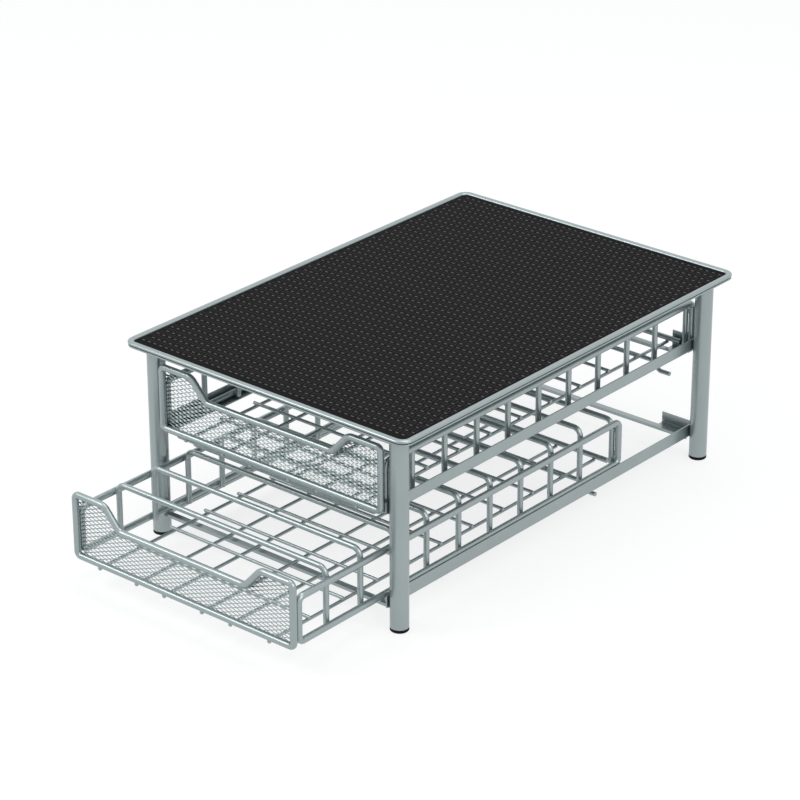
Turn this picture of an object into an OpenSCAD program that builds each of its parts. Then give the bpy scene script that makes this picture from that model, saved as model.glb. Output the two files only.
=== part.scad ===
// Coffee capsule holder: a tray on four legs with two sliding wire drawers.
// Origin: middle of the ground area, on the floor. X to the right, Y to the back, Z up.

/* [Tray] */
// Width of the tray over the rim
tray_w = 310; // [290:1:340]
// Depth of the tray over the rim
tray_d = 453; // [440:1:480]
// Height of the top of the rim above the floor
tray_top = 181; // [178:0.5:200]
// Outer corner radius of the tray
tray_corner = 11; // [8:0.5:20]
// Width of the rolled rim
rim_w = 5.8; // [4.5:0.1:7]
// Height of the rolled rim
rim_h = 5; // [4.2:0.1:8]
// Thickness of the tray sheet
tray_sheet = 1.2; // [0.8:0.1:1.5]
// Depth of the mat surface below the top of the rim
mat_recess = 1.8; // [1:0.1:2.4]
// Thickness of the mat
mat_t = 1.6; // [1:0.1:1.8]

/* [Legs] */
// Outer diameter of the leg tube
leg_d = 16; // [14:0.5:18]
// Wall of the leg tube
leg_wall = 1.5; // [1:0.1:2.5]
// Distance from the side of the tray in to the leg axes
leg_inset_x = 21; // [18:0.5:24]
// Distance from the front and the rear of the tray in to the leg axes
leg_inset_y = 18.5; // [16:0.5:22]
// Height of the cap below the tube
cap_h = 2.7; // [1.5:0.1:8]
// Depth of the cap plug inside the tube
plug_h = 12; // [5:1:30]

/* [Rails] */
// Height of the top of the lower rail floor
lower_floor_z = 26.1; // [25:0.1:30]
// Height between the lower and the upper rail floor
level_pitch = 78.5; // [76:0.5:84]
// Thickness of the rail sheet
rail_sheet = 0.9; // [0.6:0.1:1]
// Width of the upper rail floor inside its flange
upper_ledge = 11.2; // [8:0.1:14]
// Width of the lower rail floor inside its flange
lower_ledge = 4.6; // [4:0.1:14]
// How far the upper rail flange rises above its floor
upper_flange_up = 10.4; // [6:0.1:14]
// How far the lower rail flange rises above its floor
lower_flange_up = 4.6; // [3:0.1:10]
// How far the lower rail flange hangs below its floor
lower_flange_down = 6.7; // [6.2:0.1:10]
// How far the rails reach in front of the front leg axes
rail_front = 6.3; // [2:0.1:8]
// How far the rails reach behind the rear leg axes
rail_rear = 2; // [1:0.1:4]

/* [Crossbars] */
// Thickness of the crossbar sheet
bar_sheet = 1.2; // [0.8:0.1:1.6]
// Depth of the tops of the crossbars below the rail floors
bar_drop = 6; // [5.8:0.1:6.8]
// Width of a crossbar
bar_w = 6; // [4:0.5:8]
// Height of a crossbar with its folded lip
bar_h = 2.8; // [2.2:0.1:5]
// Distance from the flanges in to the ends of the upper crossbars' lips
lip_inset = 31; // [20:0.5:50]
// How far the upper crossbars' bends start inside the rail floors
bend_before = 5; // [3:0.5:8]
// How far the upper crossbars' bends reach under the rail floors
bend_after = 3; // [2:0.5:6]
// Distance from the front leg axes back to the front face of the front crossbars
front_bar_back = 2; // [-2:0.5:6]
// Distance from the rear leg axes forward to the rear face of the rear crossbars
rear_bar_forward = 0.7; // [-2:0.1:6]
// Distance of the stop plates behind the rear leg axes
stop_back = 4.9; // [4:0.1:7]
// Width of the upper rear stop plates
stop_w = 26; // [18:0.5:30]
// Width of the lower rear stop plates
lower_stop_w = 34; // [18:0.5:40]
// Height of the rear stop plates
stop_h = 10; // [5:0.5:14]

/* [Drawers] */
// Diameter of the front frame wire
frame_wire = 6; // [5:0.1:6.4]
// Diameter of the side loop wire
loop_wire = 6; // [5:0.1:6.4]
// Diameter of the divider wire
divider_wire = 5; // [3:0.1:6]
// Diameter of the floor runners and floor cross wires
floor_wire = 3; // [2.5:0.1:4]
// How deep the floor runners sink into the front frame wire
runner_sink = 0.9; // [0.5:0.1:1]
// Diameter of the stop wire
stop_wire_d = 4; // [3:0.1:4.2]
// Diameter of the rear floor wire
rear_wire = 5; // [4:0.1:5.5]
// Height of the front frame between its wire centre lines
frame_h = 56.5; // [50:0.5:58]
// Centre line radius of the front frame corners
frame_r = 7.5; // [6:0.5:14]
// Height of the front frame bottom wire above the drawer base
frame_z = 1; // [0:0.1:2]
// Depth of the hand dip
dip_depth = 18.8; // [10:0.1:26]
// Distance from the side of the front frame to the top of the hand dip
dip_side = 33.8; // [26:0.1:45]
// How far each end of the hand dip slopes inwards
dip_run = 17; // [12:0.5:30]
// Centre line radius of the hand dip bends
dip_r = 10; // [6:0.5:12]
// Thickness of the mesh sheet
mesh_t = 1.6; // [1:0.1:2]
// Width of a mesh gap pattern step
mesh_x = 12.6; // [11.5:0.1:16]
// Height of a mesh gap pattern step
mesh_z = 6; // [5.5:0.1:10]
// Width of the mesh strands
mesh_strand = 1.5; // [0.8:0.1:2]
// Height of the side loops between their wire centre lines
loop_h = 39.9; // [34:0.1:44]
// Centre line radius of the side loop corners
loop_r = 8; // [7:0.5:12]
// Distance from the front frame to the first divider
divider_first = 44.8; // [40:0.1:50]
// Distance from the last divider to the rear wire of the side loops
divider_last = 48.2; // [44:0.1:54]
// Height of the divider wire above the drawer base
divider_top = 51.5; // [48:0.5:54]
// Centre line radius of the divider corners
divider_r = 7; // [6:0.5:12]
// Distance of the rear hoop in front of the rear wire of the side loops
hoop_forward = 2; // [0:0.1:4]
// Height of the rear hoop wire above the drawer base
hoop_top = 43.3; // [40:0.1:50]
// Distance between the two runners of a pair
runner_pair = 42.3; // [36:0.1:44]
// Distance from the side loops to the outer runners
runner_side = 26; // [25:0.1:34]
// How far the runners reach in front of the middle of the front frame wire
runner_front = 1.3; // [0.5:0.1:2]
// How far the runners reach behind the middle of the rear floor wire
runner_rear = 0.5; // [0:0.1:1.6]
// How far a floor cross wire reaches past the outer runner
cross_over = 2.2; // [1:0.1:4]
// Distance from the side loops to the ends of the rear floor wire
rear_wire_inset = 11.3; // [10:0.1:20]
// Distance of the stop wire in front of the rear wire of the side loops
stop_wire_ahead = 34.6; // [29:0.1:38]
// Distance from the side loops to the bends of the stop wire
stop_bend_inset = 16.8; // [14:0.1:20]
// Drop of the stop wire ends
stop_drop = 8; // [6:0.5:8]
// Centre line radius of the stop wire bends
stop_r = 5; // [4:0.5:6]

/* [Position] */
// Distance of the closed front frames in front of the front leg axes
closed_front = 7; // [6.6:0.1:9]
// How far the lower drawer stands open
lower_open = 105.8; // [0:0.1:300]

/* [Clearances] */
// Gap left between welded pieces
weld_gap = 0.05; // [0.02:0.01:0.08]
// Gap between a drawer and what it slides on
slide_gap = 0.3; // [0.2:0.05:0.3]
// Gap between a drawer and the rail flange on each side
side_gap = 0.35; // [0.3:0.05:1]
// Gap between the mat and the rim
mat_gap = 0.2; // [0.1:0.05:0.5]
// Gap between the ends of the stop wire and the rail flanges
stop_end_gap = 0.95; // [0.6:0.05:2]
// Gap between the cap plug and the tube
plug_gap = 0.1; // [0.05:0.05:0.2]

/* [Hidden] */
$fn = 48;
dividers = 9;
groove = 0.4;
groove_up = rim_h * 0.22;
cap_edge = 0.6;
bend_thin = 0.04;
lap = 0.02;
cut_over = 1;
leg_bevel = 0.5;
leg_x = tray_w / 2 - leg_inset_x;
leg_y = tray_d / 2 - leg_inset_y;
rim_bottom = tray_top - rim_h;
mat_top = tray_top - mat_recess;
pan_top = mat_top - mat_t;
pan_bottom = pan_top - tray_sheet;
tube_top = pan_bottom - weld_gap;
flange_face = leg_x - leg_d / 2 - weld_gap;
flange_inner = flange_face - 2 * rail_sheet;
floor_inner = flange_inner - upper_ledge;
bend_x0 = floor_inner - bend_before;
bend_x1 = floor_inner + bend_after;
bar_end_x = flange_inner - weld_gap;
lip_half = flange_inner - lip_inset;
lower_bar_half = flange_inner + rail_sheet - weld_gap;
stop_inner = flange_inner - stop_w;
upper_floor_z = lower_floor_z + level_pitch;
rail_y0 = -leg_y - rail_front;
rail_y1 = leg_y + rail_rear;
half_w = flange_inner - side_gap - loop_wire / 2;
drawer_w = 2 * half_w;
closed_y = -leg_y - closed_front;
floor_y0 = closed_y + frame_wire / 2 + slide_gap;
base_gap = slide_gap;
loop_z = loop_wire / 2;
runner_z = frame_z - frame_wire / 2 - floor_wire / 2 + runner_sink;
cross_z = runner_z + floor_wire + weld_gap;
rear_wire_z = runner_z + floor_wire / 2 + rear_wire / 2 + weld_gap;
stop_z = runner_z - floor_wire / 2 - stop_wire_d / 2 - weld_gap;
mesh_y = frame_wire / 2 + weld_gap;
loop_y0 = mesh_y + mesh_t + weld_gap + loop_wire / 2;
loop_y1 = leg_y + stop_back - slide_gap - loop_wire / 2 - closed_y;
loop_l = loop_y1 - loop_y0;
divider_pitch = (loop_y1 - divider_last - divider_first) / (dividers - 1);
dip_top = half_w - dip_side;
dip_bottom = dip_top - dip_run;
runner_outer = half_w - runner_side;
runner_inner = runner_outer - runner_pair;
rear_wire_half = half_w - rear_wire_inset;
stop_wire_y = loop_y1 - stop_wire_ahead;
stop_mid_half = half_w - stop_bend_inset;
stop_end_half = flange_inner - stop_end_gap;
mesh_edge = frame_wire * 0.05;
mesh_border = frame_wire * 0.4;
divider_x = half_w - loop_wire / 2 - divider_wire / 2 - weld_gap;
front_bar_y0 = -leg_y - front_bar_back;
front_bar_y1 = front_bar_y0 + bar_w;
rear_bar_y1 = leg_y - rear_bar_forward;
rear_bar_y0 = rear_bar_y1 - bar_w;
stop_y0 = leg_y + stop_back;
stop_y1 = stop_y0 + bar_sheet;
shift_y = (tray_d / 2 - closed_y + lower_open + frame_wire / 2) / 2 - tray_d / 2;

// A round wire from the origin along +X. Each step is a run, a turn to the left and its radius.
// The bends are a little thinner, and the straight runs lap over their ends.
module wire_run(d, steps, i = 0) {
    if (i < len(steps)) {
        run = steps[i][0];
        turn = steps[i][1];
        r = steps[i][2];
        side = turn < 0 ? -1 : 1;
        rotate([0, 90, 0]) translate([0, 0, -lap]) cylinder(d = d, h = run + 2 * lap);
        translate([run, 0, 0]) {
            if (turn != 0) {
                translate([0, side * r, 0])
                    rotate([0, 0, turn > 0 ? -90 : 90 + turn])
                        rotate_extrude(angle = abs(turn)) translate([r, 0]) circle(d = d - bend_thin);
            }
            translate([r * sin(abs(turn)), side * r * (1 - cos(turn)), 0])
                rotate([0, 0, turn]) wire_run(d, steps, i + 1);
        }
    }
}

// Lays a wire drawn in the XY plane upright into the XZ plane.
module upright() {
    rotate([90, 0, 0]) children();
}

module rounded_plate(w, d, r, h) {
    linear_extrude(h) {
        square([w - 2 * r, d], center = true);
        square([w, d - 2 * r], center = true);
        for (sx = [-1, 1], sy = [-1, 1])
            translate([sx * (w / 2 - r), sy * (d / 2 - r)]) circle(r);
    }
}

// Section of the rolled rim, with the outer face at x = tray_corner.
module rim_section() {
    bead = rim_w / 2;
    bead_z = tray_top - bead;
    difference() {
        union() {
            translate([tray_corner - bead, bead_z]) circle(bead);
            translate([tray_corner - rim_w, rim_bottom]) square([rim_w, bead_z - rim_bottom]);
        }
        translate([tray_corner - bead, bead_z]) circle(bead - tray_sheet);
        translate([tray_corner - rim_w + tray_sheet, rim_bottom - cut_over])
            square([rim_w - 2 * tray_sheet, bead_z - rim_bottom + cut_over]);
        translate([tray_corner - groove, rim_bottom + groove_up]) square([2 * groove, groove]);
    }
}

module rim_run(length) {
    translate([-tray_corner, length / 2, 0])
        rotate([90, 0, 0]) linear_extrude(length) rim_section();
}

module top_tray() {
    color("lightsteelblue") {
        side_x = tray_w / 2;
        side_y = tray_d / 2;
        for (s = [0, 180]) {
            rotate([0, 0, s]) translate([side_x, 0, 0]) rim_run(tray_d - 2 * tray_corner);
            rotate([0, 0, s + 90]) translate([side_y, 0, 0]) rim_run(tray_w - 2 * tray_corner);
        }
        for (c = [[1, 1, 0], [-1, 1, 90], [-1, -1, 180], [1, -1, 270]])
            translate([c[0] * (side_x - tray_corner), c[1] * (side_y - tray_corner), 0])
                rotate([0, 0, c[2]]) rotate_extrude(angle = 90) rim_section();
        pan_inset = rim_w - tray_sheet / 2;
        translate([0, 0, pan_bottom])
            rounded_plate(tray_w - 2 * pan_inset, tray_d - 2 * pan_inset,
                tray_corner - pan_inset, tray_sheet);
    }
}

module non_slip_mat() {
    inset = rim_w + mat_gap;
    color("dimgray") translate([0, 0, pan_top])
        rounded_plate(tray_w - 2 * inset, tray_d - 2 * inset, tray_corner - inset, mat_t);
}

module leg(sx, sy) {
    color("silver") translate([sx * leg_x, sy * leg_y, cap_h]) difference() {
        union() {
            cylinder(d1 = leg_d - 2 * leg_bevel, d2 = leg_d, h = leg_bevel);
            translate([0, 0, leg_bevel]) cylinder(d = leg_d, h = tube_top - cap_h - leg_bevel);
        }
        translate([0, 0, -cut_over])
            cylinder(d = leg_d - 2 * leg_wall, h = tube_top - cap_h + 2 * cut_over);
    }
}

module leg_cap(sx, sy) {
    color("black") translate([sx * leg_x, sy * leg_y, 0]) {
        cylinder(d1 = leg_d - 2 * cap_edge, d2 = leg_d, h = cap_edge);
        translate([0, 0, cap_edge]) cylinder(d = leg_d, h = cap_h - weld_gap - cap_edge);
        cylinder(d = leg_d - 2 * leg_wall - 2 * plug_gap, h = cap_h + plug_h);
    }
}

module upright_extrude(y0, y1) {
    translate([0, y1, 0]) rotate([90, 0, 0]) linear_extrude(y1 - y0) children();
}

// The doubled upper part of a rail flange, with a round top edge.
module flange_section(z0, z1) {
    translate([flange_inner, z0]) square([2 * rail_sheet, z1 - rail_sheet - z0]);
    translate([flange_inner + rail_sheet, z1 - rail_sheet]) circle(rail_sheet);
}

// The bend of a sheet from level to upright.
module corner_section(sheet) {
    difference() {
        intersection() {
            circle(2 * sheet);
            translate([0, -2 * sheet]) square(2 * sheet);
        }
        circle(sheet);
    }
}

// Makes room in a rail floor for the front frame of the drawer.
module front_notch(floor_z) {
    translate([0, rail_y0 - rail_sheet, floor_z - 2 * rail_sheet])
        cube([flange_inner, floor_y0 - rail_y0 + rail_sheet, 2.5 * rail_sheet]);
}

// Bent up from one sheet: the floor, the corner and the flange with its inner layer.
module upper_rail(sx) {
    hem_z = upper_floor_z + rail_sheet;
    color("slategray") mirror([sx < 0 ? 1 : 0, 0, 0]) difference() {
        upright_extrude(rail_y0, rail_y1) {
            flange_section(hem_z, upper_floor_z + upper_flange_up);
            translate([flange_inner, hem_z]) corner_section(rail_sheet);
            translate([floor_inner, upper_floor_z - rail_sheet]) square([upper_ledge, rail_sheet]);
        }
        front_notch(upper_floor_z);
    }
}

// The flange runs on below the floor, which is a narrow ledge on its inner side.
module lower_rail(sx) {
    low_z = lower_floor_z - lower_flange_down;
    color("slategray") mirror([sx < 0 ? 1 : 0, 0, 0]) difference() {
        upright_extrude(rail_y0, rail_y1) {
            flange_section(lower_floor_z - rail_sheet, lower_floor_z + lower_flange_up);
            translate([flange_inner + rail_sheet, low_z])
                square([rail_sheet, lower_floor_z - low_z]);
            translate([flange_inner - lower_ledge, lower_floor_z - rail_sheet])
                square([lower_ledge + rail_sheet, rail_sheet]);
        }
        front_notch(lower_floor_z);
    }
}

// Upper contour of an upper crossbar: low in the middle, up under the rail floors at its ends.
function bend_z(x, low, high) =
    abs(x) < bend_x0 ? low
    : abs(x) > bend_x1 ? high
    : low + (high - low) * (1 - cos(180 * (abs(x) - bend_x0) / (bend_x1 - bend_x0))) / 2;

module bent_strip_section(low, high) {
    steps = 12;
    xs = concat([-bar_end_x], [for (i = [0:steps]) -bend_x1 + (bend_x1 - bend_x0) * i / steps],
        [for (i = [0:steps]) bend_x0 + (bend_x1 - bend_x0) * i / steps], [bar_end_x]);
    top = [for (x = xs) [x, bend_z(x, low, high)]];
    bottom = [for (i = [len(xs) - 1:-1:0]) [xs[i], bend_z(xs[i], low, high) - bar_sheet]];
    polygon(concat(top, bottom));
}

// The folded lip under a crossbar, with sloping ends.
module bar_lip(y0, low, half, slope) {
    upright_extrude(y0, y0 + bar_sheet)
        polygon([[-half, low - bar_sheet / 2], [half, low - bar_sheet / 2],
            [half - slope, low - bar_h], [slope - half, low - bar_h]]);
}

module upper_bar(y0, y1, lip_y) {
    low = upper_floor_z - bar_drop;
    high = upper_floor_z - rail_sheet - weld_gap;
    upright_extrude(y0, y1) bent_strip_section(low, high);
    bar_lip(lip_y, low, lip_half, bar_h);
}

module lower_bar(y0, y1, lip_y) {
    low = lower_floor_z - bar_drop;
    translate([-lower_bar_half, y0, low - bar_sheet])
        cube([2 * lower_bar_half, y1 - y0, bar_sheet]);
    bar_lip(lip_y, low, lower_bar_half, 0);
}

module upper_front_crossbar() {
    color("slategray") upper_bar(front_bar_y0, front_bar_y1, front_bar_y0);
}

module lower_front_crossbar() {
    color("slategray") lower_bar(front_bar_y0, front_bar_y1, front_bar_y0);
}

module stop_plate_section(base_low, base_high, end_x) {
    polygon([[stop_inner, base_low - bar_sheet / 2], [bend_x0, base_low - bar_sheet / 2],
        [bend_x1, base_high - bar_sheet / 2], [end_x, base_high - bar_sheet / 2],
        [end_x, base_high + stop_h], [stop_inner, base_high + stop_h]]);
}

module upper_rear_crossbar() {
    low = upper_floor_z - bar_drop;
    high = upper_floor_z - rail_sheet - weld_gap;
    color("slategray") {
        upper_bar(rear_bar_y0, rear_bar_y1, rear_bar_y0);
        for (s = [0, 1]) mirror([s, 0, 0]) {
            intersection() {
                upright_extrude(rear_bar_y0, stop_y1) bent_strip_section(low, high);
                translate([stop_inner, rear_bar_y0, low - stop_h])
                    cube([stop_w, stop_y1 - rear_bar_y0, high - low + 2 * stop_h]);
            }
            upright_extrude(stop_y0, stop_y1) stop_plate_section(low, high, bar_end_x);
        }
    }
}

// A stop plate bent up from a strip behind the lower rear crossbar.
module lower_stop_plate(low) {
    bend_y = stop_y0 - bar_sheet;
    translate([flange_inner - lower_stop_w, 0, 0]) rotate([90, 0, 90])
        linear_extrude(lower_bar_half - flange_inner + lower_stop_w) {
            translate([rear_bar_y0, low - bar_sheet]) square([bend_y - rear_bar_y0, bar_sheet]);
            translate([stop_y0, low + bar_sheet]) square([bar_sheet, stop_h - bar_sheet]);
            translate([bend_y, low + bar_sheet]) corner_section(bar_sheet);
        }
}

module lower_rear_crossbar() {
    low = lower_floor_z - bar_drop;
    color("slategray") {
        lower_bar(rear_bar_y0, rear_bar_y1, rear_bar_y0);
        for (s = [0, 1]) mirror([s, 0, 0]) lower_stop_plate(low);
    }
}

// The front frame runs once round, with the hand dip in its top side.
module front_frame() {
    slope = atan2(dip_depth, dip_top - dip_bottom);
    tangent = dip_r * tan(slope / 2);
    slant = sqrt(pow(dip_top - dip_bottom, 2) + pow(dip_depth, 2)) - 2 * tangent;
    shoulder = half_w - frame_r - dip_top - tangent;
    color("lightblue") translate([-half_w + frame_r, 0, frame_z]) upright()
        wire_run(frame_wire, [
            [drawer_w - 2 * frame_r, 90, frame_r],
            [frame_h - 2 * frame_r, 90, frame_r],
            [shoulder, slope, dip_r],
            [slant, -slope, dip_r],
            [2 * dip_bottom - 2 * tangent, -slope, dip_r],
            [slant, slope, dip_r],
            [shoulder, 90, frame_r],
            [frame_h - 2 * frame_r, 90, frame_r]
        ]);
}

// Outline of the mesh sheet, drawn in by a margin from the centre line of the frame wire.
module mesh_outline(margin) {
    r = frame_r - margin;
    w = half_w - margin;
    top = frame_z + frame_h - margin;
    bottom = frame_z + margin;
    difference() {
        union() {
            translate([-w + r, bottom]) square([2 * w - 2 * r, top - bottom]);
            translate([-w, bottom + r]) square([2 * w, top - bottom - 2 * r]);
            for (sx = [-1, 1], z = [bottom + r, top - r]) translate([sx * (w - r), z]) circle(r);
        }
        polygon([
            [-dip_top - margin, top + 2 * margin + cut_over], [-dip_top - margin / 2, top],
            [-dip_bottom - margin / 2, top - dip_depth], [dip_bottom + margin / 2, top - dip_depth],
            [dip_top + margin / 2, top], [dip_top + margin, top + 2 * margin + cut_over]
        ]);
    }
}

module mesh_gaps() {
    diagonal = sqrt(pow(mesh_x, 2) + pow(mesh_z, 2));
    gap_x = mesh_x - mesh_strand * diagonal / mesh_z;
    gap_z = mesh_z - mesh_strand * diagonal / mesh_x;
    columns = ceil(half_w / mesh_x);
    rows = ceil(frame_h / mesh_z);
    for (i = [-columns:columns], j = [0:2 * rows])
        translate([(i + (j % 2) / 2) * mesh_x, frame_z + j * mesh_z / 2])
            polygon([[-gap_x / 2, 0], [0, -gap_z / 2], [gap_x / 2, 0], [0, gap_z / 2]]);
}

module front_mesh() {
    color("gainsboro") upright_extrude(mesh_y, mesh_y + mesh_t) difference() {
        mesh_outline(mesh_edge);
        intersection() {
            mesh_outline(mesh_border);
            mesh_gaps();
        }
    }
}

module side_loop(sx) {
    color("powderblue") translate([sx * half_w, loop_y0 + loop_r, loop_z])
        rotate([0, 0, 90]) upright() wire_run(loop_wire, [
            [loop_l - 2 * loop_r, 90, loop_r], [loop_h - 2 * loop_r, 90, loop_r],
            [loop_l - 2 * loop_r, 90, loop_r], [loop_h - 2 * loop_r, 90, loop_r]
        ]);
}

// An upside-down U that stands inside the side loops.
module hoop(top, y) {
    foot = loop_z - loop_wire / 4;
    translate([divider_x, y, foot]) upright() rotate([0, 0, 90])
        wire_run(divider_wire, [
            [top - foot - divider_r, 90, divider_r],
            [2 * (divider_x - divider_r), 90, divider_r],
            [top - foot - divider_r, 0, 0]
        ]);
}

module divider(i) {
    color("lightcyan") hoop(divider_top, divider_first + (i - 1) * divider_pitch);
}

module rear_hoop() {
    color("lightcyan") hoop(hoop_top, loop_y1 - hoop_forward);
}

module rear_floor_wire() {
    color("aliceblue") translate([-rear_wire_half, loop_y1, rear_wire_z])
        rotate([0, 90, 0]) cylinder(d = rear_wire, h = 2 * rear_wire_half);
}

// The runners are notched where they are welded under the front frame wire.
module floor_runners() {
    color("azure") difference() {
        for (x = [runner_pair / 2, runner_inner, runner_outer], s = [-1, 1])
            translate([s * x, -runner_front, runner_z]) rotate([-90, 0, 0])
                cylinder(d = floor_wire, h = loop_y1 + runner_front + runner_rear);
        translate([-half_w, 0, frame_z]) rotate([0, 90, 0])
            cylinder(d = frame_wire + 2 * weld_gap, h = drawer_w);
    }
}

module floor_cross_wires() {
    half = runner_outer + cross_over;
    color("azure") for (i = [0:dividers - 1])
        translate([-half, divider_first + i * divider_pitch, cross_z])
            rotate([0, 90, 0]) cylinder(d = floor_wire, h = 2 * half);
}

// The stop wire: its middle meets the front crossbar, its dropped ends pass under the rails.
module stop_wire() {
    slope = 45;
    r = stop_r;
    tangent = r * tan(slope / 2);
    slant = stop_drop / sin(slope) - 2 * tangent;
    end = stop_end_half - stop_mid_half - stop_drop / tan(slope) - tangent;
    color("azure") translate([-stop_end_half, stop_wire_y, stop_z - stop_drop]) upright()
        wire_run(stop_wire_d, [
            [end, slope, r], [slant, -slope, r],
            [2 * (stop_mid_half - tangent), -slope, r], [slant, slope, r],
            [end, 0, 0]
        ]);
}

module stand() {
    translate([0, shift_y, 0]) children();
}

module upper() {
    translate([0, shift_y + closed_y, upper_floor_z + base_gap]) children();
}

module lower() {
    translate([0, shift_y + closed_y - lower_open, lower_floor_z + base_gap]) children();
}

stand() top_tray();
stand() non_slip_mat();
stand() leg(-1, -1);  // leg_front_left
stand() leg(1, -1);  // leg_front_right
stand() leg(-1, 1);  // leg_rear_left
stand() leg(1, 1);  // leg_rear_right
stand() leg_cap(-1, -1);  // leg_cap_front_left
stand() leg_cap(1, -1);  // leg_cap_front_right
stand() leg_cap(-1, 1);  // leg_cap_rear_left
stand() leg_cap(1, 1);  // leg_cap_rear_right
stand() upper_rail(-1);  // upper_rail_left
stand() upper_rail(1);  // upper_rail_right
stand() lower_rail(-1);  // lower_rail_left
stand() lower_rail(1);  // lower_rail_right
stand() upper_front_crossbar();
stand() upper_rear_crossbar();
stand() lower_front_crossbar();
stand() lower_rear_crossbar();
upper() front_frame();  // upper_front_frame
upper() front_mesh();  // upper_front_mesh
upper() side_loop(-1);  // upper_side_loop_left
upper() side_loop(1);  // upper_side_loop_right
upper() rear_hoop();  // upper_rear_hoop
upper() rear_floor_wire();  // upper_rear_floor_wire
upper() floor_runners();  // upper_floor_runners
upper() floor_cross_wires();  // upper_floor_cross_wires
upper() stop_wire();  // upper_stop_wire
upper() divider(1);  // upper_divider_1
upper() divider(2);  // upper_divider_2
upper() divider(3);  // upper_divider_3
upper() divider(4);  // upper_divider_4
upper() divider(5);  // upper_divider_5
upper() divider(6);  // upper_divider_6
upper() divider(7);  // upper_divider_7
upper() divider(8);  // upper_divider_8
upper() divider(9);  // upper_divider_9
lower() front_frame();  // lower_front_frame
lower() front_mesh();  // lower_front_mesh
lower() side_loop(-1);  // lower_side_loop_left
lower() side_loop(1);  // lower_side_loop_right
lower() rear_hoop();  // lower_rear_hoop
lower() rear_floor_wire();  // lower_rear_floor_wire
lower() floor_runners();  // lower_floor_runners
lower() floor_cross_wires();  // lower_floor_cross_wires
lower() stop_wire();  // lower_stop_wire
lower() divider(1);  // lower_divider_1
lower() divider(2);  // lower_divider_2
lower() divider(3);  // lower_divider_3
lower() divider(4);  // lower_divider_4
lower() divider(5);  // lower_divider_5
lower() divider(6);  // lower_divider_6
lower() divider(7);  // lower_divider_7
lower() divider(8);  // lower_divider_8
lower() divider(9);  // lower_divider_9
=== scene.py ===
import math
import bpy
import numpy as np
from mathutils import Matrix, Vector


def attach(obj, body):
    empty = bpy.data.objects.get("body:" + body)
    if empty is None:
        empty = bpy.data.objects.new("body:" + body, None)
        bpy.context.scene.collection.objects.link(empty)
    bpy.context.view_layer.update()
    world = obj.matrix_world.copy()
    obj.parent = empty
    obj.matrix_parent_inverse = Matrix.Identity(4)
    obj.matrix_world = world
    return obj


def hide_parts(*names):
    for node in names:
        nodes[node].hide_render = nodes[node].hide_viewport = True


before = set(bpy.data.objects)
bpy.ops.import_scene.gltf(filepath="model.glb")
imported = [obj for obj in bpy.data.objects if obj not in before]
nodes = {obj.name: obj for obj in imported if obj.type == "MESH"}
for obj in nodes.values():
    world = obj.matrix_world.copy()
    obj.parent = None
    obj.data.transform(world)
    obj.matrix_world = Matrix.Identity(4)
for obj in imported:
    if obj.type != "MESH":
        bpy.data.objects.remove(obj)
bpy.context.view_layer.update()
mm = 0.001
# each drawer's own zero: middle of its front frame, 2 mm above the underside of the frame's lower wire
drawers = {"upper": np.array((0, -166.35, 104.9)), "lower": np.array((0, -272.15, 26.4))}


def toLinear(hexText):
    # sRGB hex text to linear red, green, blue and alpha
    parts = np.array([int(hexText[i:i + 2], 16) for i in (1, 3, 5)]) / 255
    lin = np.where(parts <= 0.04045, parts / 12.92, ((parts + 0.055) / 1.055) ** 2.4)
    return (*lin, 1)


def addNode(tree, kind, settings=None, links=None):
    # settings: attribute names or socket names with their values; links: socket name to output
    new = tree.nodes.new(kind)
    for key, value in (settings or {}).items():
        if isinstance(key, str) and hasattr(new, key):
            setattr(new, key, value)
        else:
            new.inputs[key].default_value = value
    for key, source in (links or {}).items():
        tree.links.new(source, new.inputs[key])
    return new


def newMaterial(name):
    made = bpy.data.materials.new(name)
    made.use_nodes = True
    made.node_tree.nodes.clear()
    return made, made.node_tree


def newPiece(name, points, faces, material, body):
    # points in millimetres in the shared frame, faces as lists of point numbers
    data = bpy.data.meshes.new(name)
    data.from_pydata((np.asarray(points) * mm).tolist(), [], faces)
    data.update()
    data.materials.append(material)
    piece = bpy.data.objects.new(name, data)
    bpy.context.scene.collection.objects.link(piece)
    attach(piece, body)
    return piece


# order of a quad's points that turns it over but keeps its first point, and so its diagonal
turnedOver = [0, 3, 2, 1]


def gridFaces(rings, around, closed=False):
    # quads between neighbouring rings of points, numbered ring by ring; closed ties the last to the first
    ring, step = np.meshgrid(np.arange(rings if closed else rings - 1), np.arange(around), indexing="ij")
    above, beside = (ring + 1) % rings, (step + 1) % around
    quads = (ring * around + step, ring * around + beside, above * around + beside, above * around + step)
    return np.stack(quads, -1).reshape(-1, 4)


def repeatFaces(faces, points, count):
    # the faces of one shape with that many points, renumbered for every copy of it
    faces = np.array(faces)
    return (faces + points * np.arange(count)[:, None, None]).reshape(-1, faces.shape[1]).tolist()


# silver powder coat on steel: grain is the width of its orange peel and cloud that of a slow change of tint;
# both are assumed, not measured, and the peel is finer than a pixel of the photograph
silverCoat = {"base": "#a6b1b2", "dark": "#9ca7a8", "metallic": 0.75, "roughness": 0.3, "spread": 0.04,
              "grainMm": 0.7, "cloudMm": 45, "bump": 0.05, "bumpMm": 0.2}


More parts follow.
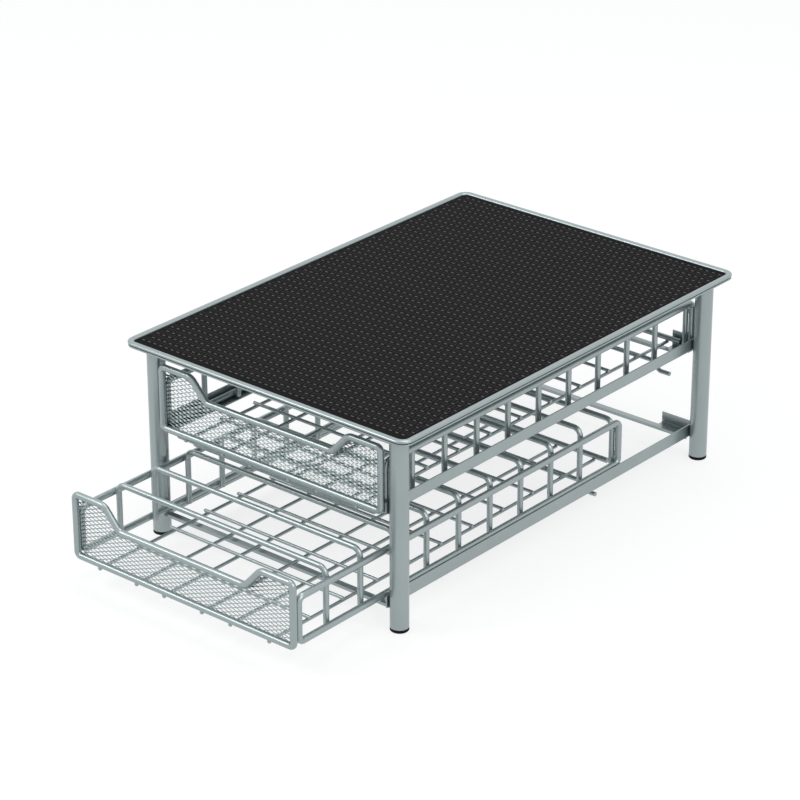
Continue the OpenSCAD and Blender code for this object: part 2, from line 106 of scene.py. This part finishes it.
def powderCoat(name, look):
    # the eye gets an even satin grey with a faint green cast, soft but clear highlights, and a little more
    # life at the edges of the reflections
    made, tree = newMaterial(name)
    coords = addNode(tree, "ShaderNodeTexCoord")
    peel = addNode(tree, "ShaderNodeTexNoise", {"Scale": 1 / (look["grainMm"] * mm), "Detail": 2.0},
                   {"Vector": coords.outputs["Object"]})
    cloud = addNode(tree, "ShaderNodeTexNoise", {"Scale": 1 / (look["cloudMm"] * mm), "Detail": 3.0},
                    {"Vector": coords.outputs["Object"]})
    tint = addNode(tree, "ShaderNodeMix", {"data_type": "RGBA"}, {"Factor": cloud.outputs["Fac"]})
    tint.inputs["A"].default_value = toLinear(look["base"])
    tint.inputs["B"].default_value = toLinear(look["dark"])
    bump = addNode(tree, "ShaderNodeBump", {"Strength": look["bump"], "Distance": look["bumpMm"] * mm},
                   {"Height": peel.outputs["Fac"]})
    low, high = look["roughness"] - look["spread"], look["roughness"] + look["spread"]
    rough = addNode(tree, "ShaderNodeMapRange", {"To Min": low, "To Max": high},
                    {"Value": cloud.outputs["Fac"]})
    shader = addNode(tree, "ShaderNodeBsdfPrincipled", {"Metallic": look["metallic"]},
                     {"Base Color": tint.outputs["Result"], "Roughness": rough.outputs["Result"],
                      "Normal": bump.outputs["Normal"]})
    addNode(tree, "ShaderNodeOutputMaterial", links={"Surface": shader.outputs["BSDF"]})
    return made


# moulded rubber of the mat, with black sheet, dark grey ribs and mid grey dashes, and the leg caps, taken to
# be polyethylene; the grain sizes are assumed, not measured, and finer than a pixel of the photograph
rubber = {"grainMm": 0.5, "bumpMm": 0.2, "mottleTimes": 2.5, "ior": 1.5}
matSheetLook = {**rubber, "base": "#060606", "mottle": "#1c1c1c", "roughness": 0.75, "bump": 0.25,
                "gloss": 0.06}
matRibLook = {**rubber, "base": "#1c1c1c", "mottle": "#303030", "roughness": 0.7, "bump": 0.2, "gloss": 0.1}
matDashLook = {**rubber, "base": "#5b5b5b", "mottle": "#636363", "roughness": 0.6, "bump": 0.1, "gloss": 0.15}
legCapLook = {"grainMm": 0.6, "bumpMm": 0.2, "mottleTimes": 2.5, "ior": 1.5, "base": "#050506",
              "mottle": "#0b0b0c", "roughness": 0.6, "bump": 0.12, "gloss": 0.15}


def mouldedPolymer(name, look):
    # the eye gets a dull, softly mottled surface with broad faint highlights; mottle is the second colour, in
    # patches mottleTimes as wide as the grain
    made, tree = newMaterial(name)
    patch = look["mottleTimes"] * look["grainMm"] * mm
    coords = addNode(tree, "ShaderNodeTexCoord")
    grain = addNode(tree, "ShaderNodeTexNoise", {"Scale": 1 / (look["grainMm"] * mm), "Detail": 3.0},
                    {"Vector": coords.outputs["Object"]})
    mottle = addNode(tree, "ShaderNodeTexNoise", {"Scale": 1 / patch, "Detail": 2.0},
                     {"Vector": coords.outputs["Object"]})
    bump = addNode(tree, "ShaderNodeBump", {"Strength": look["bump"], "Distance": look["bumpMm"] * mm},
                   {"Height": grain.outputs["Fac"]})
    tint = addNode(tree, "ShaderNodeMix", {"data_type": "RGBA"}, {"Factor": mottle.outputs["Fac"]})
    tint.inputs["A"].default_value = toLinear(look["base"])
    tint.inputs["B"].default_value = toLinear(look["mottle"])
    shader = addNode(tree, "ShaderNodeBsdfPrincipled",
                     {"Roughness": look["roughness"], "IOR": look["ior"], "Specular IOR Level": look["gloss"]},
                     {"Base Color": tint.outputs["Result"], "Normal": bump.outputs["Normal"]})
    addNode(tree, "ShaderNodeOutputMaterial", links={"Surface": shader.outputs["BSDF"]})
    return made


coat = powderCoat("silverPowderCoat", silverCoat)
matRubber = mouldedPolymer("mouldedRubber", matSheetLook)
ribRubber = mouldedPolymer("mouldedRubberRibs", matRibLook)
dashRubber = mouldedPolymer("mouldedRubberRidges", matDashLook)
capPlastic = mouldedPolymer("mouldedPolyethylene", legCapLook)
for name, node in nodes.items():
    isMat, isCap = name == "non_slip_mat", "leg_cap" in name
    node.data.materials.clear()
    node.data.materials.append(matRubber if isMat else capPlastic if isCap else coat)
print("CAD nodes dressed:", len(nodes))

# expanded metal in millimetres, its lean in degrees: bond and curve are shares of the long way, curveSwing is
# the swing where a curve ends, middle is the place of one diamond on each drawer, diamonds how many follow to
# either side, rowMargin how far rows keep inside low and high, endMargin how far bends keep off a strand's ends
meshLook = {"long": 9.25, "short": 3.63, "width": 0.8, "thick": 0.4, "edge": 0.06, "lean": 35,
            "bond": 0.075, "curve": 0.045, "curveSwing": 0.87, "diamonds": 20,
            "middle": {"upper": (34.5, 19.8), "lower": (37.4, 21.2)},
            "depth": 3.85, "halfWide": 120.5, "low": 1.4, "high": 57.1, "corner": 3.8,
            "dipTop": 87, "dipBottom": 70, "dipLow": 38.4, "rowMargin": 0.6, "endMargin": 0.2}


def meshSpans(z, look):
    # runs of x at the height z inside the front frame, the hand dip taken out
    over = max(look["low"] + look["corner"] - z, z - look["high"] + look["corner"], 0)
    reach = look["halfWide"] - look["corner"] + math.sqrt(max(look["corner"] ** 2 - over ** 2, 0))
    if z <= look["dipLow"]:
        return [(-reach, reach)]
    slope = (z - look["dipLow"]) / (look["high"] - look["dipLow"])
    inner = look["dipBottom"] + (look["dipTop"] - look["dipBottom"]) * slope
    return [(-reach, -inner), (inner, reach)]


def strandSection(look):
    # a flat rectangle with its corners cut, leaning back: first axis up the leaning face, second square to it
    w, t, e, lean = look["width"] / 2, look["thick"] / 2, look["edge"], math.radians(look["lean"])
    ring = np.array([(w - e, -t), (w, -t + e), (w, t - e), (w - e, t),
                     (e - w, t), (-w, t - e), (-w, -t + e), (e - w, -t)])
    return ring @ np.array([(0, math.sin(lean), math.cos(lean)), (0, math.cos(lean), -math.sin(lean))])


def expandedMetal(side, look):
    # every strand is the leaning section carried along x, point = path + section, where the path swings up and
    # down by rise * swing and back by back * swing; swing is -1 at the bond below and +1 at the bond above
    lean, step = math.radians(look["lean"]), look["width"] - 2 * look["edge"]
    rise = look["short"] / 4 - step * math.cos(lean) / 2
    back = step * math.sin(lean) / 2
    section = strandSection(look)
    sides = len(section)
    b, c, s, n = look["bond"], look["curve"], look["curveSwing"], look["diamonds"]
    keys = np.array([-b, b, b + c, 0.5 - b - c, 0.5 - b, 0.5 + b, 0.5 + b + c, 1 - b - c])
    keys = (keys + np.arange(-n, n)[:, None]).ravel()
    values = np.tile([-1, -1, -s, s, 1, 1, s, -s], 2 * n)
    midX, midZ = look["middle"][side]
    rowStep = look["short"] / 2
    firstRow = math.ceil((look["low"] + look["rowMargin"] - midZ) / rowStep)
    lastRow = math.floor((look["high"] - look["rowMargin"] - midZ) / rowStep)
    points, faces, start = [], [], 0
    for row in range(firstRow, lastRow + 1):
        z = midZ - rowStep / 2 + row * rowStep
        shift = row % 2 * 0.5
        for x0, x1 in meshSpans(z, look):
            xs = (keys + shift) * look["long"] + midX
            xs = xs[(xs > x0 + look["endMargin"]) & (xs < x1 - look["endMargin"])]
            xs = np.concatenate([[x0], xs, [x1]])
            swing = np.interp((xs - midX) / look["long"] - shift, keys, values)
            path = np.stack([xs, look["depth"] - back * swing, z + rise * swing], -1)
            points.append((path[:, None] + section).reshape(-1, 3))
            faces += (gridFaces(len(xs), sides)[:, ::-1] + start).tolist()
            end = start + len(xs) * sides
            faces += [list(range(start, start + sides)), list(range(end - 1, end - sides - 1, -1))]
            start = end
    piece = newPiece(side + "_expanded_metal", np.concatenate(points) + drawers[side], faces, coat,
                     side + "_drawer")
    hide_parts(side + "_front_mesh")
    print(side, "expanded metal:", len(faces), "faces")
    return piece


for side in drawers:
    expandedMetal(side, meshLook)

# bent round wires, in millimetres: frame outline with its hand dip, and side loop, each with its bend radii;
# sides and arc count the points round the wire and along a bend
frameLook = {"wire": 6, "halfWide": 120.8, "low": 1, "high": 57.5, "corner": 4, "dipTop": 87, "dipBottom": 70,
             "dipLow": 38.7, "dipBend": 9, "sides": 20, "arc": 9}
loopLook = {"wire": 6, "x": 120.8, "front": 6.0, "rear": 424.6, "low": 3, "high": 42.9, "corner": 5.2,
            "sides": 20, "arc": 9}


def roundedPath(corners, radii, arc):
    # straight lines with an arc at every corner: its middle lies radius / sin(half the corner) away, on the
    # line that halves the corner, and its points turn evenly from one touching point to the other
    corners, radii = np.array(corners, float), np.array(radii, float)[:, None]
    before, after = np.roll(corners, 1, 0) - corners, np.roll(corners, -1, 0) - corners
    before, after = (v / np.linalg.norm(v, axis=1, keepdims=True) for v in (before, after))
    half = np.arccos(np.clip((before * after).sum(1, keepdims=True), -1, 1)) / 2
    inward = (before + after) / np.linalg.norm(before + after, axis=1, keepdims=True)
    middle = corners + inward * radii / np.sin(half)
    start, end = (corners + v * radii / np.tan(half) - middle for v in (before, after))
    sweep = (math.pi - 2 * half)[:, None]
    t = np.linspace(0, 1, arc)[:, None]
    turned = (start[:, None] * np.sin((1 - t) * sweep) + end[:, None] * np.sin(t * sweep)) / np.sin(sweep)
    return (middle[:, None] + turned).reshape(-1, 3)


def bentWire(name, path, square, look, body, node):
    # a circle carried along the closed path, point = path + radius * (outward * cos + square * sin), with
    # square the direction square to the plane that the path lies in
    square = np.array(square, float)
    along = np.roll(path, -1, 0) - np.roll(path, 1, 0)
    along = along / np.linalg.norm(along, axis=1, keepdims=True)
    outward = np.cross(along, square)
    turns = np.linspace(0, 2 * math.pi, look["sides"], endpoint=False)[:, None]
    ring = outward[:, None] * np.cos(turns) + square * np.sin(turns)
    points = (path[:, None] + ring * look["wire"] / 2).reshape(-1, 3)
    faces = gridFaces(len(path), look["sides"], closed=True)[:, ::-1].tolist()
    piece = newPiece(name, points, faces, coat, body)
    piece.data.shade_smooth()
    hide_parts(node)
    return piece


def frontFrame(side, look):
    # the right half of the outline and its mirror image, every corner rounded
    half = [(look["halfWide"], look["low"]), (look["halfWide"], look["high"]),
            (look["dipTop"], look["high"]), (look["dipBottom"], look["dipLow"])]
    outline = [(x, 0, z) for x, z in half] + [(-x, 0, z) for x, z in half[::-1]]
    bends = [look[k] for k in ("corner", "corner", "dipBend", "dipBend")]
    path = roundedPath(outline, bends + bends[::-1], look["arc"]) + drawers[side]
    return bentWire(side + "_frame_wire", path, (0, 1, 0), look, side + "_drawer", side + "_front_frame")


def sideLoop(side, hand, look):
    # a rounded rectangle that stands along y at one x
    x = look["x"] if hand == "right" else -look["x"]
    ends = (("front", "low"), ("rear", "low"), ("rear", "high"), ("front", "high"))
    outline = [(x, look[y], look[z]) for y, z in ends]
    path = roundedPath(outline, [look["corner"]] * 4, look["arc"]) + drawers[side]
    return bentWire(side + "_loop_wire_" + hand, path, (-1, 0, 0), look, side + "_drawer",
                    side + "_side_loop_" + hand)


for side in drawers:
    frontFrame(side, frameLook)
    for hand in ("left", "right"):
        sideLoop(side, hand, loopLook)
print("front frames and side loops bent")

# resistance welds: where two wires cross, a little steel is squeezed out and coated over; half sizes of a bead
# and of the upset end of a floor runner, then the places on one drawer, all in millimetres
weldLook = {"long": 1.9, "wide": 1.25, "high": 0.8, "end": (2.0, 1.7, 1.8), "rings": 5, "spokes": 8,
            "runners": (21.15, 52.5, 94.8), "rows": 9, "firstRow": 44.8, "pitch": 41.45, "floor": -1.08,
            "stopWire": (390, -4.12), "rearWire": 424.6, "runnerEnd": (-0.3, -2.9),
            "divider": (117.78, (42.9, 3)), "hoop": (117.8, 423.6, (12, 34)), "frame": (120.8, 3.0, (13, 33))}


def weldSpots(look):
    # places and half sizes of the welds of one drawer
    long, wide, high = look["long"], look["wide"], look["high"]
    runners = [s * x for x in look["runners"] for s in (-1, 1)]
    rows = [look["firstRow"] + look["pitch"] * i for i in range(look["rows"])]
    stopY, stopZ = look["stopWire"]
    endY, endZ = look["runnerEnd"]
    spots = [((x, y, look["floor"]), (long, wide, high)) for x in runners for y in rows + [look["rearWire"]]]
    spots += [((x, stopY, stopZ), (long, wide, high)) for x in runners]
    spots += [((x, endY, endZ), look["end"]) for x in runners]
    dividerX, dividerZ = look["divider"]
    hoopX, hoopY, hoopZ = look["hoop"]
    frameX, frameY, frameZ = look["frame"]
    for s in (-1, 1):
        spots += [((s * dividerX, y, z), (high, long, wide)) for y in rows for z in dividerZ]
        spots += [((s * hoopX, hoopY, z), (high, wide, long)) for z in hoopZ]
        spots += [((s * frameX, frameY, z), (wide, high, long)) for z in frameZ]
    return np.array(spots)


def weldBeads(side, look):
    # one bead is a flattened ball, point = place + half size * (sin up cos around, sin up sin around, cos up)
    n, rings = look["spokes"], look["rings"]
    up, around = np.meshgrid(np.linspace(0, math.pi, rings + 2)[1:-1],
                             np.linspace(0, 2 * math.pi, n, endpoint=False), indexing="ij")
    belt = np.stack([np.sin(up) * np.cos(around), np.sin(up) * np.sin(around), np.cos(up)], -1).reshape(-1, 3)
    ball = np.concatenate([[(0, 0, 1)], belt, [(0, 0, -1)]])
    first, last = np.arange(n), rings * n + 1
    after = (first + 1) % n
    tips = np.concatenate([np.stack([0 * first, 1 + first, 1 + after], -1),
                           np.stack([0 * first + last, last - n + after, last - n + first], -1)])
    spots = weldSpots(look)
    points = (ball * spots[:, None, 1] + spots[:, None, 0]).reshape(-1, 3) + drawers[side]
    faces = repeatFaces(tips, len(ball), len(spots))
    faces += repeatFaces(gridFaces(rings, n)[:, turnedOver] + 1, len(ball), len(spots))
    piece = newPiece(side + "_weld_beads", points, faces, coat, side + "_drawer")
    piece.data.shade_smooth()
    print(side, "weld beads:", len(spots))
    return piece


for side in drawers:
    weldBeads(side, weldLook)

# pressed tray in millimetres, beadEnd and crease in degrees: half sizes, corner, middle of its depth, and its
# section as (distance in from the outer face, height); a round bead on top, a deep groove, a set-back band, a
# hollow below, then the flat sheet
trayLook = {"halfX": 155, "halfY": 226.5, "corner": 11, "tightest": 0.6, "middleY": 48.65, "arc": 10,
            "beadMiddle": (2.8, 179.25), "beadHalf": (2.8, 1.75), "beadEnd": 215, "beadSteps": 27, "crease": 38,
            "inner": ((9.0, 177.6), (6.0, 177.6), (5.65, 177.9), (5.6, 178.5)),
            "outer": ((0.95, 178.18), (2.3, 178.1), (2.45, 177.85), (2.3, 177.6), (0.75, 177.52),
                      (0.52, 177.45), (0.42, 177.25), (0.4, 176.4), (0.5, 176.12), (0.75, 176.0),
                      (1.15, 176.0), (1.2, 176.85), (1.5, 177.0), (4.1, 177.0), (4.4, 176.85),
                      (4.5, 176.0), (5.7, 176.0), (5.8, 176.4), (9.0, 176.4))}


def trayRings(section, look):
    # every (inset, height) of the section becomes a rounded rectangle: four quarter turns of radius
    # corner - inset round middles that lie halfX or halfY - inset - radius from the tray's own middle
    inset, height = np.array(section).T[:, :, None, None]
    radius = np.maximum(look["corner"] - inset, look["tightest"])
    turn = (np.arange(4)[:, None] + np.linspace(0, 1, look["arc"])) * math.pi / 2
    sideX, sideY = np.array([(1, -1, -1, 1), (1, 1, -1, -1)])[:, :, None]
    x = sideX * (look["halfX"] - inset - radius) + radius * np.cos(turn)
    y = sideY * (look["halfY"] - inset - radius) + radius * np.sin(turn) + look["middleY"]
    return np.stack([x, y, height + 0 * x], -1).reshape(-1, 3)


def pressedTray(look):
    # the section's bead is an ellipse: middle + (half width * cos, half height * sin)
    turn = np.radians(np.linspace(0, look["beadEnd"], look["beadSteps"]))[:, None]
    circle = np.concatenate([np.cos(turn), np.sin(turn)], 1)
    bead = np.array(look["beadMiddle"]) + np.array(look["beadHalf"]) * circle
    section = np.concatenate([look["inner"], bead, look["outer"]])
    points = trayRings(section, look)
    around = 4 * look["arc"]
    faces = gridFaces(len(section), around)[:, turnedOver].tolist()
    faces += [list(range(around)), list(range(len(points) - 1, len(points) - around - 1, -1))]
    piece = newPiece("pressed_tray", points, faces, coat, "stand")
    piece.data.shade_smooth()
    piece.data.set_sharp_from_angle(angle=math.radians(look["crease"]))
    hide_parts("top_tray")
    print("tray pressed:", len(section), "rings")
    return piece


pressedTray(trayLook)

# marks moulded on the mat, in millimetres: bright dashes along x, two rows per repeat with the second row
# shifted by half a pitch, and faint low ribs along y that fill the gaps between those rows; size is length
# in x, length in y and height, and levels are (share of the outline, share of the height)
matLook = {"repeatY": 17.42, "middleY": 48.65, "top": 179.2, "halfX": 147.6, "halfY": 219.1}
dashLook = {"pitchX": 6.64, "rows": ((5.38, 5.36), (2.06, 14.47)), "size": (3.1, 1.15, 0.35), "turns": 12,
            "levels": ((1.0, -0.05), (0.94, 0.6), (0.72, 0.92))}
ribLook = {"pitchX": 3.32, "rows": ((2.6, 9.92), (2.6, 18.62)), "size": (1.3, 5.2, 0.16), "turns": 8,
           "levels": ((1.0, -0.05), (0.75, 0.9))}


def markShape(look):
    # a long oval, straight half + round half, that narrows level by level towards one point on top
    n, levels = look["turns"], np.array(look["levels"])[:, :, None]
    size, high = np.array(look["size"][:2]), look["size"][2]
    turns = (np.arange(n)[:, None] + 0.5) * 2 * math.pi / n
    oval = np.concatenate([np.cos(turns), np.sin(turns)], 1)
    oval = np.sign(oval) * (size - size.min()) / 2 + oval * size.min() / 2
    rings = [np.concatenate([oval * share, np.full((n, 1), rise * high)], 1) for share, rise in levels]
    return np.concatenate(rings + [[(0, 0, high)]])


def evenSteps(start, pitch, reach):
    # start + pitch * whole number, as far as reach to either side of the middle
    most = math.ceil((reach + abs(start)) / pitch) + 1
    steps = start + pitch * np.arange(-most, most)
    return steps[np.abs(steps) < reach]


def markPlaces(look, mat):
    # every place of the pattern at which a whole mark fits on the mat
    places = []
    for startX, startY in look["rows"]:
        xs = evenSteps(startX, look["pitchX"], mat["halfX"] - look["size"][0] / 2)
        ys = evenSteps(startY, mat["repeatY"], mat["halfY"] - look["size"][1] / 2)
        gridX, gridY = np.meshgrid(xs, ys)
        places.append(np.stack([gridX, gridY + mat["middleY"], 0 * gridX + mat["top"]], -1).reshape(-1, 3))
    return np.concatenate(places)


def matMarks(name, look, material):
    # the same mark at every place, point = place + shape; its lowest ring is sunk a little into the mat
    shape, places = markShape(look), markPlaces(look, matLook)
    n, top = look["turns"], len(shape) - 1
    first = np.arange(n)
    cap = np.stack([top - n + first, top - n + (first + 1) % n, 0 * first + top], -1)
    points = (places[:, None] + shape).reshape(-1, 3)
    faces = repeatFaces(gridFaces(len(look["levels"]), n), len(shape), len(places))
    faces += repeatFaces(cap, len(shape), len(places)) + repeatFaces([first[::-1]], len(shape), len(places))
    piece = newPiece(name, points, faces, material, "stand")
    piece.data.shade_smooth()
    print(name + ":", len(places))
    return piece


matMarks("mat_dashes", dashLook, dashRubber)
matMarks("mat_ribs", ribLook, ribRubber)

# camera, solved from the photograph: place in metres, angles in degrees, lens in millimetres
cameraView = {"place": (1.57872, -1.85737, 1.25095), "azimuth": 40.373, "elevation": 25.115,
              "roll": -0.119, "lens": 141.21, "sensor": 36, "near": 0.1, "far": 30}


def addCamera(view):
    # looks along the azimuth and down by the elevation, then rolls about that line
    az, el, roll = (math.radians(view[k]) for k in ("azimuth", "elevation", "roll"))
    ahead = Vector((-math.sin(az) * math.cos(el), math.cos(az) * math.cos(el), -math.sin(el)))
    right = Vector((math.cos(az), math.sin(az), 0))
    above = right.cross(ahead)
    camX = right * math.cos(roll) + above * math.sin(roll)
    camY = above * math.cos(roll) - right * math.sin(roll)
    data = bpy.data.cameras.new("camera")
    data.sensor_fit = "HORIZONTAL"
    data.sensor_width, data.lens = view["sensor"], view["lens"]
    data.clip_start, data.clip_end = view["near"], view["far"]
    camera = bpy.data.objects.new("camera", data)
    bpy.context.scene.collection.objects.link(camera)
    turn = Matrix((camX, camY, -ahead)).transposed().to_4x4()
    camera.matrix_world = Matrix.Translation(Vector(view["place"])) @ turn
    return camera


bpy.context.scene.camera = addCamera(cameraView)

# studio: floor size in metres, its matte colour, the share and strength of plain white in it, and the room
studio = {"floor": 12, "matte": "#f4f4f4", "plainShare": 0.7, "plainStrength": 1.12,
          "room": (0.93, 0.96, 1, 1), "roomStrength": 0.5, "white": (1, 1, 1, 1), "whiteStrength": 1.0}


def seenPlainly(tree):
    # 1 for the rays that get the plain white: from the camera, in a reflection or through something clear
    path = addNode(tree, "ShaderNodeLightPath")
    first = addNode(tree, "ShaderNodeMath", {"operation": "MAXIMUM"},
                    {0: path.outputs["Is Camera Ray"], 1: path.outputs["Is Glossy Ray"]})
    both = addNode(tree, "ShaderNodeMath", {"operation": "MAXIMUM"},
                   {0: first.outputs["Value"], 1: path.outputs["Is Transmission Ray"]})
    return both.outputs["Value"]


# floor: mostly plain white where it is seen plainly, the rest of it matte so that shadows stay
bpy.ops.mesh.primitive_plane_add(size=studio["floor"])
floor = bpy.context.object
floor.name = "floor"
floorPaint, tree = newMaterial("paleFloor")
matte = addNode(tree, "ShaderNodeBsdfDiffuse", {"Color": toLinear(studio["matte"])})
shine = addNode(tree, "ShaderNodeMath", {"operation": "MULTIPLY", 1: studio["plainStrength"]},
                {0: seenPlainly(tree)})
glow = addNode(tree, "ShaderNodeEmission", {"Color": studio["white"]}, {"Strength": shine.outputs["Value"]})
mixed = addNode(tree, "ShaderNodeMixShader", {0: studio["plainShare"]},
                {1: matte.outputs["BSDF"], 2: glow.outputs["Emission"]})
addNode(tree, "ShaderNodeOutputMaterial", links={"Surface": mixed.outputs["Shader"]})
floor.data.materials.append(floorPaint)

# world: a dim blue-white room for diffuse light, plain white where it is seen plainly
world = bpy.data.worlds.new("studio")
bpy.context.scene.world = world
world.use_nodes = True
sky = world.node_tree
sky.nodes.clear()
dim = addNode(sky, "ShaderNodeBackground", {"Color": studio["room"], "Strength": studio["roomStrength"]})
white = addNode(sky, "ShaderNodeBackground", {"Color": studio["white"], "Strength": studio["whiteStrength"]})
seen = addNode(sky, "ShaderNodeMixShader",
               links={0: seenPlainly(sky), 1: dim.outputs["Background"], 2: white.outputs["Background"]})
addNode(sky, "ShaderNodeOutputWorld", links={"Surface": seen.outputs["Shader"]})

# soft lamps: place and aim in metres, edge length in metres, power in watts
lamps = {
    "keyLamp": {"place": (-1.3, -1.5, 1.9), "aim": (0, 0, 0.1), "size": 1.0, "watts": 18},
    "fillLamp": {"place": (2.0, -0.3, 1.5), "aim": (0, 0, 0.1), "size": 1.4, "watts": 16},
    "topLamp": {"place": (0.1, 0.3, 2.3), "aim": (0, 0, 0.1), "size": 1.2, "watts": 12},
}
for name, setting in lamps.items():
    light = bpy.data.lights.new(name, "AREA")
    light.size = setting["size"]
    light.energy = setting["watts"]
    lamp = bpy.data.objects.new(name, light)
    bpy.context.scene.collection.objects.link(lamp)
    place = Vector(setting["place"])
    aim = (Vector(setting["aim"]) - place).to_track_quat("-Z", "Y").to_matrix().to_4x4()
    lamp.matrix_world = Matrix.Translation(place) @ aim
bpy.context.scene.view_settings.view_transform = "Standard"
print("camera, floor and lamps ready")
